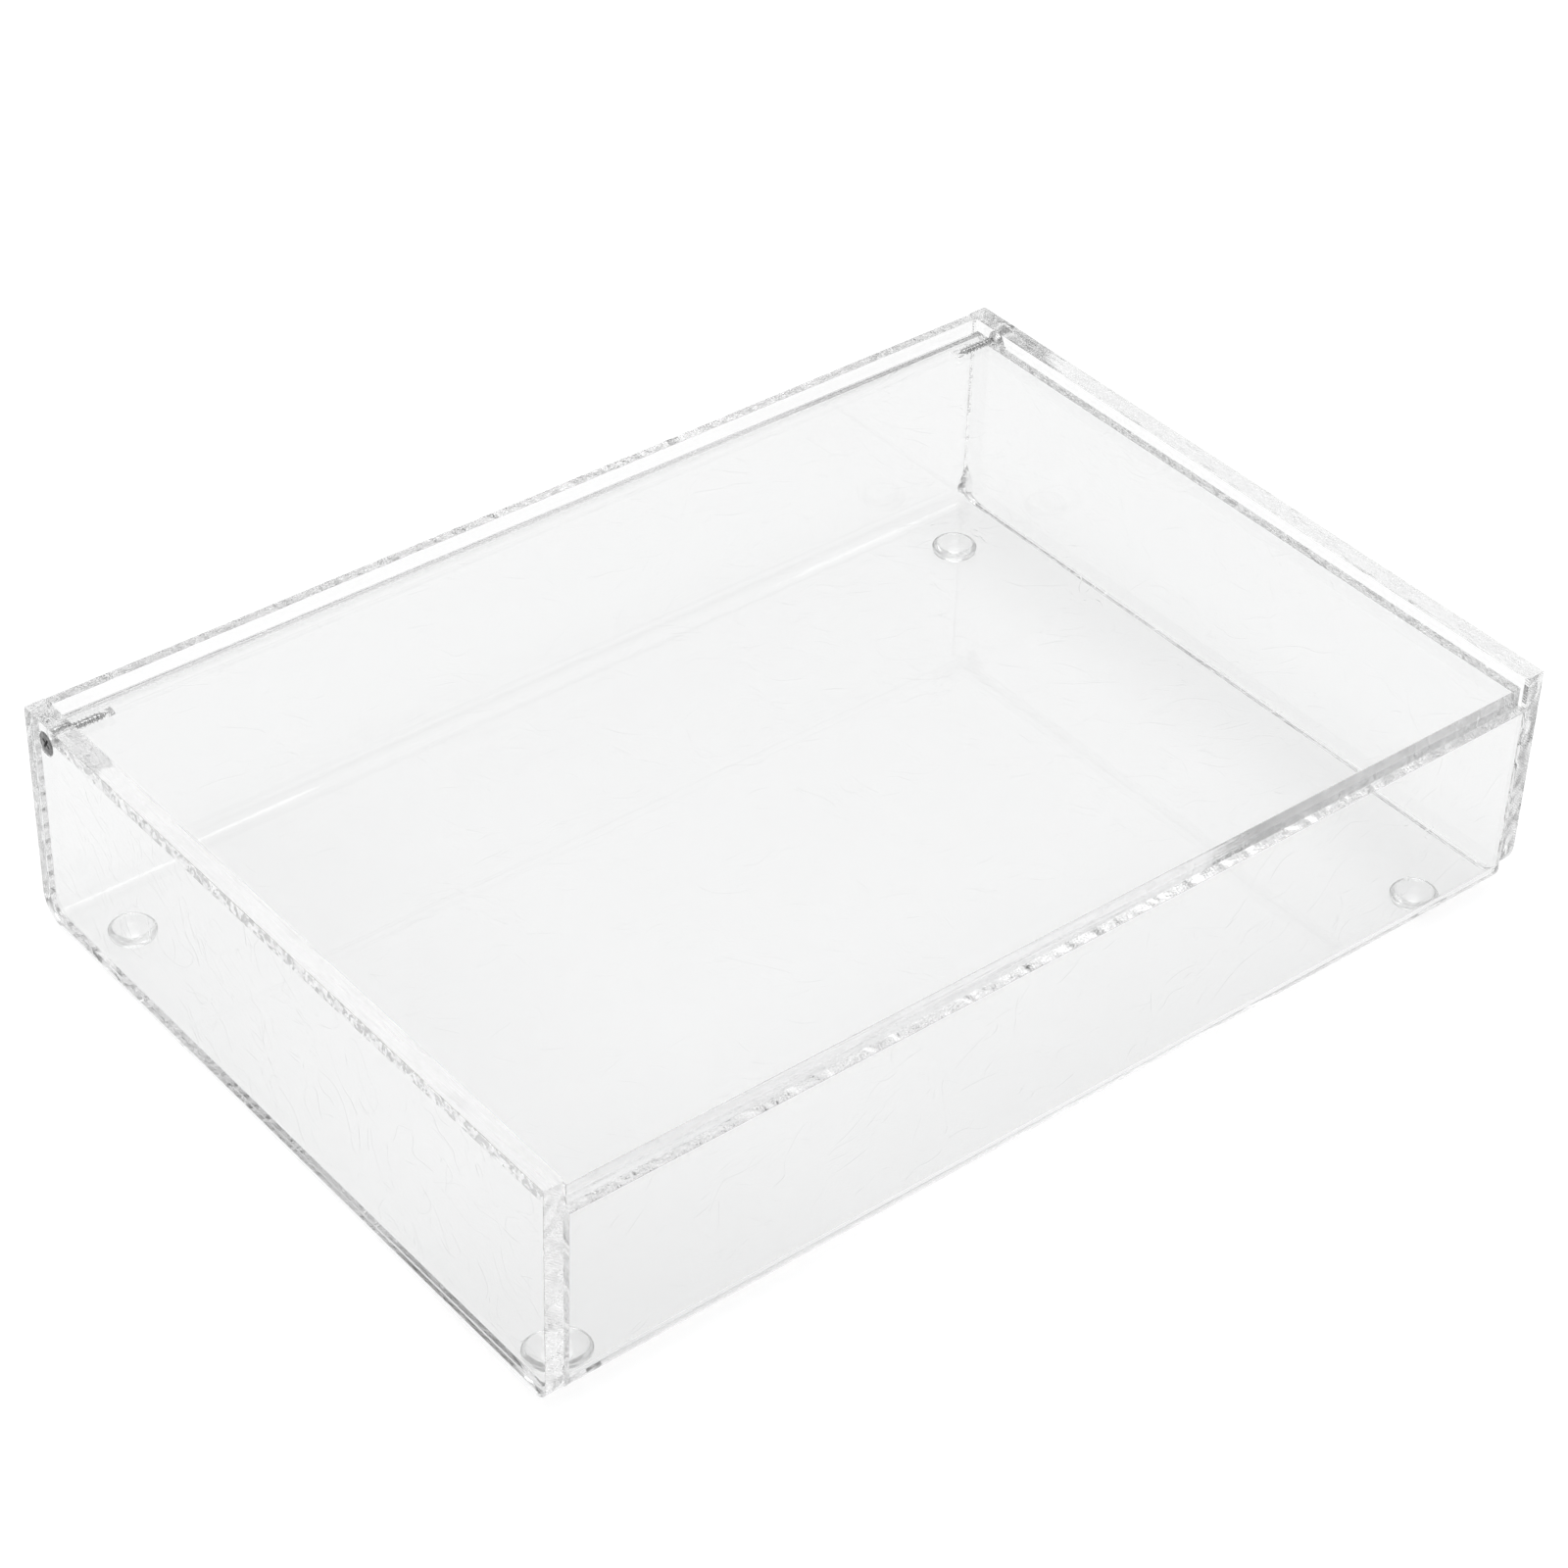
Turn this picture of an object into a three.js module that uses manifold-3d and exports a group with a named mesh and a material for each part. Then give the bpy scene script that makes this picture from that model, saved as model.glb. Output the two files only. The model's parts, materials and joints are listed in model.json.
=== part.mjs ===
// Letter tray: a shallow box of clear acrylic sheet with a flat lid that turns on two screws.
// One sheet is bent twice into the front wall, the bottom and the back wall. Two flat side
// panels are cemented over its ends. The lid lies between the panels, shuts on the sawn top
// edge of the front wall, and each side panel carries a countersunk screw that is threaded
// into the lid's end. Four domed bumper feet are stuck under the bottom.
//
// Millimetres. X runs left to right, Y front to back, Z up. The origin is on the table under
// the middle of the box.

import * as THREE from 'three';
import { mergeVertices } from 'three/addons/utils/BufferGeometryUtils.js';
import Module from 'manifold-3d';

// Stock and overall sizes: the side panels and the lid are thick sheet, the bent body is thin
const SHEET = 6.35;
const BODY_SHEET = 3.175;
const LENGTH = 334;
const PANEL_DEPTH = 230;
const PANEL_HEIGHT = 70;

// Bent sheet: how far it stands past the side panels' edges, its bends, its front wall's lean
const SEAM = 0.05;
const FRONT_PROUD = 1.4;
const BOTTOM_PROUD = 0.8;
const BACK_INSET = 0.3;
const BEND_INSIDE = 3.2;
const BEND_OUTSIDE = BEND_INSIDE + BODY_SHEET;
const FRONT_LEAN = THREE.MathUtils.degToRad(0.6);

// Side panels: hand-rounded lower corners and the scraped inner edge of the front end
const CORNER_FRONT_LEFT = 4;
const CORNER_FRONT_RIGHT = 10;
const CORNER_BACK = 8;
const SCRAPED_EDGE = 0.8;

// Lid
const LID_DROP = 3;
const LID_END_GAP = 1;
const LID_FRONT_SETBACK = 1.2;
const LID_REST_GAP = 0.25;
const LID_BEHIND_HINGE = 4.8;
const LID_BACK_TOP_RADIUS = 0.3;
const LID_BACK_BOTTOM_RADIUS = 3;

// Hinge line, measured forward from the side panels' back edges, and its flat-head screws
const HINGE_FROM_BACK = 10.1;
const SCREW_LENGTH = 19;
const SCREW_RECESS = 0.1;
const HEAD_RADIUS = 3.4;
const HEAD_RIM = 0.2;
const HEAD_HALF_ANGLE = THREE.MathUtils.degToRad(41);
const THREAD_RADIUS = 1.75;
const ROOT_RADIUS = 1.2;
const THREAD_PITCH = 1.27;
const THREAD_RINGS = 11;
const CROSS_WIDTH = 3.6;
const CROSS_BOTTOM_WIDTH = 1.2;
const CROSS_DEPTH = 1.8;
const CROSS_BLADE = 0.8;
const CROSS_TURN = THREE.MathUtils.degToRad(30);
const TURNING_CLEARANCE = 0.3;
const THREAD_CLEARANCE = 0.1;
const PILOT_DEPTH = 13;

// Bumper feet and the adhesive discs that hold them
const FOOT_RADIUS = 6.75;
const FOOT_HEIGHT = 3.3;
const FOOT_SIDE = 0.7;
const FOOT_FLAT = 1.6;
const ADHESIVE_RADIUS = 6.4;
const ADHESIVE_THICKNESS = 0.3;

// Facets of a quarter arc and of a full turn
const ARC_STEPS = 8;
const HOLE_STEPS = 36;
const SCREW_STEPS = 24;
const FOOT_STEPS = 32;

// Planes of the box
const panelOuterX = LENGTH / 2;
const panelInnerX = panelOuterX - SHEET;
const frontY = -(PANEL_DEPTH + FRONT_PROUD) / 2;
const panelFrontY = frontY + FRONT_PROUD;
const panelBackY = panelFrontY + PANEL_DEPTH;
const sheetBottomZ = FOOT_HEIGHT + ADHESIVE_THICKNESS;
const panelBottomZ = sheetBottomZ + BOTTOM_PROUD;
const topZ = panelBottomZ + PANEL_HEIGHT;
const lidTopZ = topZ - LID_DROP;
const lidBottomZ = lidTopZ - SHEET;
const hingeY = panelBackY - HINGE_FROM_BACK;
const hingeZ = (lidTopZ + lidBottomZ) / 2;

// Feet: centre as distances in from the nearest side and from the nearest end of the panels.
// They were placed by eye, so no two are alike.
const feet = [
  { name: 'front_left', side: -1, end: -1, fromSide: 15.2, fromEnd: 13.9 },
  { name: 'front_right', side: 1, end: -1, fromSide: 28.6, fromEnd: 11.3 },
  { name: 'back_left', side: -1, end: 1, fromSide: 19.2, fromEnd: 20.8 },
  { name: 'back_right', side: 1, end: 1, fromSide: 25.1, fromEnd: 20.3 },
];

const wasm = await Module();
wasm.setup();

// A closed geometry as a solid: shared corners are merged and collapsed triangles dropped.
function solidOf(geometry) {
  const bare = geometry.clone();
  bare.deleteAttribute('normal');
  bare.deleteAttribute('uv');
  const merged = mergeVertices(bare);
  const corners = merged.index.array;
  const kept = [];
  for (let i = 0; i < corners.length; i += 3) {
    const [a, b, c] = [corners[i], corners[i + 1], corners[i + 2]];
    if (a !== b && b !== c && c !== a) {
      kept.push(a, b, c);
    }
  }
  return new wasm.Manifold(new wasm.Mesh({
    numProp: 3,
    vertProperties: new Float32Array(merged.attributes.position.array),
    triVerts: new Uint32Array(kept),
  }));
}

function geometryOf(solid) {
  const mesh = solid.getMesh();
  const geometry = new THREE.BufferGeometry();
  geometry.setAttribute('position', new THREE.BufferAttribute(mesh.vertProperties, 3));
  geometry.setIndex(new THREE.BufferAttribute(mesh.triVerts, 1));
  geometry.computeVertexNormals();
  return geometry;
}

function cut(geometry, cutters) {
  const left = cutters.reduce((solid, cutter) => solid.subtract(solidOf(cutter)), solidOf(geometry));
  return geometryOf(left);
}

// A shape drawn in (y, z) becomes a prism that runs along X.
const alongX = new THREE.Matrix4().makeBasis(
  new THREE.Vector3(0, 1, 0),
  new THREE.Vector3(0, 0, 1),
  new THREE.Vector3(1, 0, 0),
);

function prismAlongX(shape, fromX, toX) {
  const options = { depth: toX - fromX, bevelEnabled: false, curveSegments: ARC_STEPS };
  const geometry = new THREE.ExtrudeGeometry(shape, options);
  geometry.translate(0, 0, fromX);
  geometry.applyMatrix4(alongX);
  return geometry;
}

// A profile of (radius, depth) pairs turned about the hinge line. Depth runs inward from the
// outer face of the side panel on the given side.
function turnedOnHinge(profile, side, steps) {
  const points = profile.map(([radius, depth]) => new THREE.Vector2(radius, depth));
  const geometry = new THREE.LatheGeometry(points, steps);
  return placeOnHinge(geometry, side);
}

function placeOnHinge(geometry, side) {
  geometry.rotateZ(side * Math.PI / 2);
  geometry.translate(side * panelOuterX, hingeY, hingeZ);
  return geometry;
}

// The one sheet that is bent into front wall, bottom and back wall
function bentSheet() {
  const bendZ = sheetBottomZ + BEND_OUTSIDE;
  const frontTopZ = lidBottomZ - LID_REST_GAP;
  const normalY = -Math.cos(FRONT_LEAN);
  const normalZ = -Math.sin(FRONT_LEAN);
  const riseOf = (radius) => frontTopZ - (bendZ + radius * normalZ);
  const topY = (centreY, radius) => centreY + radius * normalY - riseOf(radius) * Math.tan(FRONT_LEAN);
  const frontBendY = frontY - topY(0, BEND_OUTSIDE);
  const backBendY = panelBackY - BACK_INSET - BEND_OUTSIDE;
  const leaning = Math.PI + FRONT_LEAN;
  const down = 1.5 * Math.PI;
  const back = 2 * Math.PI;

  const shape = new THREE.Shape();
  shape.moveTo(backBendY + BEND_OUTSIDE, topZ);
  shape.lineTo(backBendY + BEND_INSIDE, topZ);
  shape.absarc(backBendY, bendZ, BEND_INSIDE, back, down, true);
  shape.absarc(frontBendY, bendZ, BEND_INSIDE, down, leaning, true);
  shape.lineTo(topY(frontBendY, BEND_INSIDE), frontTopZ);
  shape.lineTo(frontY, frontTopZ);
  shape.absarc(frontBendY, bendZ, BEND_OUTSIDE, leaning, down, false);
  shape.absarc(backBendY, bendZ, BEND_OUTSIDE, down, back, false);
  shape.closePath();
  return prismAlongX(shape, -panelInnerX + SEAM, panelInnerX - SEAM);
}

// Cutter for a countersunk clearance hole in a side panel, round its screw
function screwHole(side) {
  const mouth = HEAD_RADIUS + TURNING_CLEARANCE;
  const bore = THREAD_RADIUS + TURNING_CLEARANCE;
  const rim = SCREW_RECESS + HEAD_RIM;
  const throat = rim + (mouth - bore) / Math.tan(HEAD_HALF_ANGLE);
  const profile = [[0, -1], [mouth, -1], [mouth, rim], [bore, throat], [bore, SHEET + 1], [0, SHEET + 1]];
  return turnedOnHinge(profile, side, HOLE_STEPS);
}

// Adds a rounded lower corner of a side panel to its outline, front to back
function roundCorner(shape, centreY, radius, fromAngle) {
  shape.absarc(centreY, panelBottomZ + radius, radius, fromAngle, fromAngle + 0.5 * Math.PI, false);
}

function sidePanel(side, frontCorner) {
  const shape = new THREE.Shape();
  shape.moveTo(panelBackY, topZ);
  shape.lineTo(panelFrontY, topZ);
  roundCorner(shape, panelFrontY + frontCorner, frontCorner, Math.PI);
  roundCorner(shape, panelBackY - CORNER_BACK, CORNER_BACK, 1.5 * Math.PI);
  shape.closePath();
  const [fromX, toX] = side < 0 ? [-panelOuterX, -panelInnerX] : [panelInnerX, panelOuterX];
  return cut(prismAlongX(shape, fromX, toX), [screwHole(side), scrapedCorner(side)]);
}

// Three-sided bar over the inner front corner of a side panel
function scrapedCorner(side) {
  const innerX = side * panelInnerX;
  const bar = new THREE.Shape();
  bar.moveTo(innerX - side, panelFrontY - 1);
  bar.lineTo(innerX + side * (SCRAPED_EDGE + 1), panelFrontY - 1);
  bar.lineTo(innerX - side, panelFrontY + SCRAPED_EDGE + 1);
  bar.closePath();
  return new THREE.ExtrudeGeometry(bar, { depth: 2 * topZ, bevelEnabled: false });
}

// Lid with a back edge that is rounded below, and a threaded hole in each end
function lidPanel() {
  const backY = hingeY + LID_BEHIND_HINGE;
  const low = LID_BACK_BOTTOM_RADIUS;
  const high = LID_BACK_TOP_RADIUS;
  const shape = new THREE.Shape();
  shape.moveTo(panelFrontY + LID_FRONT_SETBACK, lidTopZ);
  shape.lineTo(panelFrontY + LID_FRONT_SETBACK, lidBottomZ);
  shape.absarc(backY - low, lidBottomZ + low, low, 1.5 * Math.PI, 2 * Math.PI, false);
  shape.absarc(backY - high, lidTopZ - high, high, 0, 0.5 * Math.PI, false);
  shape.closePath();
  const endX = panelInnerX - LID_END_GAP;
  return cut(prismAlongX(shape, -endX, endX), [pilotHole(-1), pilotHole(1)]);
}

function pilotHole(side) {
  const radius = THREAD_RADIUS + THREAD_CLEARANCE;
  const mouth = SHEET;
  const bottom = SHEET + LID_END_GAP + PILOT_DEPTH;
  return turnedOnHinge([[0, mouth], [radius, mouth], [radius, bottom], [0, bottom]], side, HOLE_STEPS);
}

// Flat-head tapping screw; closed rings stand for the turns of its thread
function hingeScrew(side) {
  const neck = HEAD_RIM + (HEAD_RADIUS - ROOT_RADIUS) / Math.tan(HEAD_HALF_ANGLE);
  const profile = [[0, 0], [HEAD_RADIUS, 0], [HEAD_RADIUS, HEAD_RIM], [ROOT_RADIUS, neck]];
  for (let ring = 0; ring < THREAD_RINGS; ring += 1) {
    const start = neck + THREAD_PITCH * (ring + 0.2);
    profile.push([ROOT_RADIUS, start]);
    profile.push([THREAD_RADIUS, start + THREAD_PITCH * 0.4]);
    profile.push([ROOT_RADIUS, start + THREAD_PITCH * 0.8]);
  }
  profile.push([0, SCREW_LENGTH]);
  const sunk = profile.map(([radius, depth]) => [radius, depth + SCREW_RECESS]);
  const body = turnedOnHinge(sunk, side, SCREW_STEPS);
  return cut(body, [crossBlade(side, 0), crossBlade(side, Math.PI / 2)]);
}

// One tapered blade of the cross recess in a screw's head
function crossBlade(side, turn) {
  const blade = new THREE.Shape();
  blade.moveTo(-CROSS_WIDTH / 2, -1);
  blade.lineTo(CROSS_WIDTH / 2, -1);
  blade.lineTo(CROSS_WIDTH / 2, 0);
  blade.lineTo(CROSS_BOTTOM_WIDTH / 2, CROSS_DEPTH);
  blade.lineTo(-CROSS_BOTTOM_WIDTH / 2, CROSS_DEPTH);
  blade.lineTo(-CROSS_WIDTH / 2, 0);
  blade.closePath();
  const geometry = new THREE.ExtrudeGeometry(blade, { depth: CROSS_BLADE, bevelEnabled: false });
  geometry.translate(0, SCREW_RECESS, -CROSS_BLADE / 2);
  geometry.rotateY(turn + CROSS_TURN);
  return placeOnHinge(geometry, side);
}

// Domed foot with its flat top at height zero, turned about Z
function bumperFoot() {
  const shoulder = FOOT_HEIGHT - FOOT_SIDE;
  const points = [new THREE.Vector2(0, -FOOT_HEIGHT)];
  for (let step = 0; step <= ARC_STEPS; step += 1) {
    const turn = step / ARC_STEPS * Math.PI / 2;
    const radius = FOOT_FLAT + (FOOT_RADIUS - FOOT_FLAT) * Math.sin(turn);
    points.push(new THREE.Vector2(radius, -FOOT_SIDE - shoulder * Math.cos(turn)));
  }
  points.push(new THREE.Vector2(FOOT_RADIUS, 0), new THREE.Vector2(0, 0));
  return new THREE.LatheGeometry(points, FOOT_STEPS).rotateX(Math.PI / 2);
}

function adhesiveDisc() {
  const radius = ADHESIVE_RADIUS;
  const geometry = new THREE.CylinderGeometry(radius, radius, ADHESIVE_THICKNESS, FOOT_STEPS);
  geometry.rotateX(Math.PI / 2);
  geometry.translate(0, 0, ADHESIVE_THICKNESS / 2);
  return geometry;
}

const looks = {
  acrylic: { color: 0xeef1f1, roughness: 0.06, metalness: 0, transparent: true, opacity: 0.3 },
  steel: { color: 0x8e9092, roughness: 0.3, metalness: 1 },
  bumper: { color: 0xe6e8e8, roughness: 0.2, metalness: 0, transparent: true, opacity: 0.5 },
  adhesive: { color: 0xdfe1e0, roughness: 0.4, metalness: 0, transparent: true, opacity: 0.5 },
};

const tray = new THREE.Group();

function add(name, geometry, look) {
  const mesh = new THREE.Mesh(geometry, new THREE.MeshStandardMaterial(looks[look]));
  mesh.name = name;
  tray.add(mesh);
  return mesh;
}

add('bent_sheet_body', bentSheet(), 'acrylic');
add('side_panel_left', sidePanel(-1, CORNER_FRONT_LEFT), 'acrylic');
add('side_panel_right', sidePanel(1, CORNER_FRONT_RIGHT), 'acrylic');
add('lid_panel', lidPanel(), 'acrylic');
add('hinge_screw_left', hingeScrew(-1), 'steel');
add('hinge_screw_right', hingeScrew(1), 'steel');

for (const { name, side, end, fromSide, fromEnd } of feet) {
  const x = side * (panelOuterX - fromSide);
  const y = end < 0 ? panelFrontY + fromEnd : panelBackY - fromEnd;
  add(`bumper_foot_${name}`, bumperFoot(), 'bumper').position.set(x, y, FOOT_HEIGHT);
  add(`foot_adhesive_${name}`, adhesiveDisc(), 'adhesive').position.set(x, y, FOOT_HEIGHT);
}

export default tray;
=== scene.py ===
"""Clear acrylic letter tray with a hinged lid, on a pale studio floor.

Metres, X left to right, Y front to back, Z up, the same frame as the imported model. Every
sheet is remade with rounded arrises, sawn edges and clear cement seams, and rides on the
body of the CAD node that it replaces.
"""

import json
import math

import bmesh
import bpy
from mathutils import Matrix, Vector
from mathutils.geometry import delaunay_2d_cdt


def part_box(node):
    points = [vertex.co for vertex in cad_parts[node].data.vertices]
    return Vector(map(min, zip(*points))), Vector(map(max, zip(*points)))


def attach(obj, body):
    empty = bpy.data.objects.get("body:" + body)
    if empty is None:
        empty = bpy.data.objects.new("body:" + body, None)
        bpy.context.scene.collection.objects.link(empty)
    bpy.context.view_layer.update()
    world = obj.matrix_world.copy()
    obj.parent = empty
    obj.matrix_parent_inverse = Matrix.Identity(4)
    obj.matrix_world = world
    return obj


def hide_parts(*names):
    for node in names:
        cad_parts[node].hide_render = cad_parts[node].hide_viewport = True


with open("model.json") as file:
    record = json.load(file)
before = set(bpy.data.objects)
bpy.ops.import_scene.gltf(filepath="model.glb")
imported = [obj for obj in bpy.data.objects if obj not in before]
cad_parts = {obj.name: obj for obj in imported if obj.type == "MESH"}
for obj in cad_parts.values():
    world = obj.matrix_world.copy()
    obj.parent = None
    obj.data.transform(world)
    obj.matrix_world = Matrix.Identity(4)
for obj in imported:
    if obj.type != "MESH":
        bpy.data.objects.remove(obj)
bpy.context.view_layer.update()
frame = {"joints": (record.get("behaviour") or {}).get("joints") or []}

MM = 0.001
WHITE = (1, 1, 1, 1)
SIDES = {-1: "left", 1: "right"}

# Shapes that the boxes of the CAD nodes don't give
BODY_SHEET = 3.175 * MM
BEND_INSIDE = 3.2 * MM
FRONT_LEAN = math.radians(0.6)
LID_GAP = 0.25 * MM
CORNER_FRONT = {-1: 4 * MM, 1: 10 * MM}
CORNER_BACK = 8 * MM
SCRAPED_EDGE = 0.8 * MM
LID_BACK_TOP = 0.3 * MM
LID_BACK_BOTTOM = 3 * MM
SCREW_RECESS = 0.1 * MM
HEAD_RADIUS = 3.4 * MM
HEAD_RIM = 0.2 * MM
HEAD_SOFTENING = 0.12 * MM
HEAD_HALF_ANGLE = math.radians(41)
THREAD_RADIUS = 1.75 * MM
ROOT_RADIUS = 1.2 * MM
THREAD_PITCH = 1.27 * MM
THREAD_FLANK = 0.28
THREAD_POINT = 2.2 * MM
TURNING_CLEARANCE = 0.3 * MM
THREAD_CLEARANCE = 0.1 * MM
PILOT_DEPTH = 13 * MM
THREAD_CONTACT = 11 * MM
CROSS_WIDTH = 3.6 * MM
CROSS_DEPTH = 1.8 * MM
CROSS_BLADE = 0.8 * MM
CROSS_TAPER = 3
CROSS_START = -1 * MM
CROSS_TURN = {-1: math.radians(32), 1: math.radians(71)}
DROP_BOTTOM = 8 * MM
DROP_HEIGHT = 10 * MM
DROP_REACH = 3.4 * MM
DROP_TIP = 0.01
FOOT_SIDE = 0.7 * MM
FOOT_FLAT = 1.6 * MM
FOOT_FLAT_INNER = 0.6 * FOOT_FLAT
FOOT_RIM = 0.2 * MM

# Which way a face looks, from a component of its normal
UPWARD = 0.5
DOWNWARD = -0.2
FORWARD = -0.5
OUTWARD = 0.3

# Edges and joints, and how finely round shapes are divided
ARRIS = 0.18 * MM
CEMENT_MARGIN = 0.06 * MM
SEAM_ARRIS = 0.03 * MM
CONTACT = 0.01 * MM
LEAST_RADIUS = 0.02 * MM
WIDEST_ARC_FACE = 1.6 * MM
MERGE_PER_METRE = 1e8
ARC_STEPS = 20
ARRIS_STEPS = 3
HOLE_STEPS = 64
THREAD_AROUND = 32
THREAD_ROWS_PER_TURN = 8
DROP_STEPS = 24
DROP_AROUND = 12
FOOT_STEPS = 24
FOOT_AROUND = 72
SCREW_SHARP = math.radians(35)
ROUND_SHARP = math.radians(50)

# Clear plastic, and its bumps: how many to the metre, and how deep. Patches and widths are
# taken from noise between 0 and 1.
ACRYLIC_TINT = (0.9, 0.902, 0.902, 1)
ACRYLIC_IOR = 1.49
WAVE_SCALE = 14.0
WAVE_DEPTH = 0.03 * MM
SCRATCH_SCALES = (28.0, 41.0, 57.0)
SCRATCH_DEPTH = 0.01 * MM
SCRATCH_WIDTH = 0.0022
SCRATCH_BREAKS = (0.5, 0.56)
RIPPLE_SCALE = 150.0
RIPPLE_DEPTH = 3.2 * MM
TOOTH_SCALE = 500.0
TOOTH_DEPTH = 0.05 * MM
TOOTH_SLANT = (35, 35, 35)
DULL_SCALE = 120.0
DULL_PATCHES = (0.35, 0.7, 0.0, 0.05)
CHIP_SCALE = 420.0
CHIP_DEPTH = 0.5 * MM
# Where the lid's chips turn metallic, as painted glints
CHIP_GLINT_PATCHES = (0.46, 0.5)
STREAK_SCALES = (900, 25, 900)
STREAK_DEPTH = 0.25 * MM
SWELL_SCALES = (200, 90, 200)
SWELL_DEPTH = 1.2 * MM
LID_STREAK_SCALES = (12, 900, 900)
LID_STREAK_DEPTH = 0.03 * MM
BORE_RING_SCALE = 500.0
BORE_RING_DEPTH = 0.03 * MM
DIMPLE_SCALE = 300.0
DIMPLE_DEPTH = 0.01 * MM

# Zinc plated steel: greys between clean and stained, and how worn it is. The head's faces that look
# outward get a much darker pair, as painted shade.
HEAD_PAINTED_SHADE_GREYS = (0.24, 0.05)
SHANK_GREYS = (0.85, 0.5)
STAIN_SCALE = 900.0
STAIN_PATCHES = (0.3, 0.75)
WEAR_SCALE = 1500.0
WEAR_ROUGHNESS = (0.3, 0.7, 0.15, 0.45)
PIT_SCALE = 2200.0
PIT_DEPTH = 0.03 * MM

# Where the floor's painted glow fades, as (from, to, strength there, strength there). The glow is
# painted light that hides the tray's shadow, and its fades are painted shade.
FLOOR_SIZE = 6.0
FLOOR_GREY = (0.2, 0.2, 0.2, 1)
PAINTED_GLOW_DEPTHWISE = ((-0.12, -0.03, 0.9, 1.0), (0.105, 0.13, 1.0, 0.84))
PAINTED_GLOW_ACROSS = ((-0.16, -0.06, 0.92, 1.0), (0.13, 0.17, 1.0, 0.86))
PAINTED_GLOW_LEAST = 0.88

# The sky in the same form: up from the horizon, and towards the camera's side
SKY_RISE = (0.14, 0.42, 0.34, 1.13)
SKY_FRONT = (0.1, 0.8, 1.0, 0.25)
SKY_FRONT_WAY = (-0.62, -0.74, 0.26)

SOFTBOX_HEIGHT = 2
SOFTBOX_SIZE = 1.1
SOFTBOX_POWER = 16

CAMERA_PLACE = (-0.5780, -0.6841, 0.7467)
CAMERA_AZIMUTH = math.radians(40.045)
CAMERA_ELEVATION = math.radians(38.178)
CAMERA_ROLL = math.radians(1.984)
CAMERA_LENS = 96.74
CAMERA_SENSOR = 36.0
CAMERA_NEAR = 0.05
CAMERA_FAR = 50

# Light crosses many clear faces before it leaves the tray
CLEAR_BOUNCES = 64
DIFFUSE_BOUNCES = 8
TRANSPARENT_BOUNCES = 16

left_lo, left_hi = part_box("side_panel_left")
right_lo, right_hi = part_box("side_panel_right")
sheet_lo, sheet_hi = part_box("bent_sheet_body")
lid_lo, lid_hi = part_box("lid_panel")
thickness = left_hi.x - left_lo.x
hinge = next(joint for joint in frame["joints"] if joint["name"] == "lid_hinge")
hinge_y, hinge_z = hinge["pos_m"][1:]
front_top_z = lid_lo.z - LID_GAP


# ---------------------------------------------------------------- outlines in (y, z)


def outline(corners, inset=0.0):
    """Points round a polygon of (y, z, radius) corners, counterclockwise, drawn in by inset."""
    count = len(corners)
    spots = [Vector((y, z)) for y, z, _ in corners]
    points = []
    for i, (_, _, radius) in enumerate(corners):
        spot = spots[i]
        arriving = (spot - spots[i - 1]).normalized()
        leaving = (spots[(i + 1) % count] - spot).normalized()
        turn = arriving.cross(leaving)
        angle = math.atan2(turn, arriving.dot(leaving))
        inward = (leaving - arriving).normalized() * math.copysign(1, turn)
        corner = spot + inward * (inset / math.cos(angle / 2))
        rounded = max(radius - math.copysign(inset, turn), LEAST_RADIUS)
        steps = ARC_STEPS if radius > MM else ARRIS_STEPS
        centre = corner + inward * math.copysign(rounded / math.cos(angle / 2), turn)
        start = corner - arriving * (rounded * math.tan(abs(angle) / 2)) - centre
        for step in range(steps + 1):
            bend = Matrix.Rotation(angle * step / steps, 2)
            points.append(centre + bend @ start)
    return points


def sheet_corners():
    """The bent sheet's section: front wall, bottom and back wall."""
    outside = BEND_INSIDE + BODY_SHEET
    rise = front_top_z - sheet_lo.z
    foot_y = sheet_lo.y + rise * math.tan(FRONT_LEAN)
    floor_z = sheet_lo.z + BODY_SHEET
    through = BODY_SHEET / math.cos(FRONT_LEAN)
    inner_foot_y = foot_y + through - BODY_SHEET * math.tan(FRONT_LEAN)
    back_in = sheet_hi.y - BODY_SHEET
    return [
        (sheet_lo.y, front_top_z, ARRIS),
        (foot_y, sheet_lo.z, outside),
        (sheet_hi.y, sheet_lo.z, outside),
        (sheet_hi.y, sheet_hi.z, ARRIS),
        (back_in, sheet_hi.z, ARRIS),
        (back_in, floor_z, BEND_INSIDE),
        (inner_foot_y, floor_z, BEND_INSIDE),
        (sheet_lo.y + through, front_top_z, ARRIS),
    ]


def panel_corners(side, scraped=0.0):
    """An end panel's outline, narrower at the front by what was scraped off."""
    lo, hi = (left_lo, left_hi) if side < 0 else (right_lo, right_hi)
    return [
        (lo.y + scraped, hi.z, ARRIS),
        (lo.y + scraped, lo.z, CORNER_FRONT[side]),
        (hi.y, lo.z, CORNER_BACK),
        (hi.y, hi.z, ARRIS),
    ]


def lid_corners():
    """The lid's section, with its rounded back edge."""
    return [
        (lid_lo.y, lid_hi.z, ARRIS),
        (lid_lo.y, lid_lo.z, ARRIS),
        (lid_hi.y, lid_lo.z, LID_BACK_BOTTOM),
        (lid_hi.y, lid_hi.z, LID_BACK_TOP),
    ]


def circle(radius):
    """A loop round the hinge line."""
    turns = [2 * math.pi * step / HOLE_STEPS for step in range(HOLE_STEPS)]
    return [Vector((hinge_y + radius * math.cos(t), hinge_z + radius * math.sin(t))) for t in turns]


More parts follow.
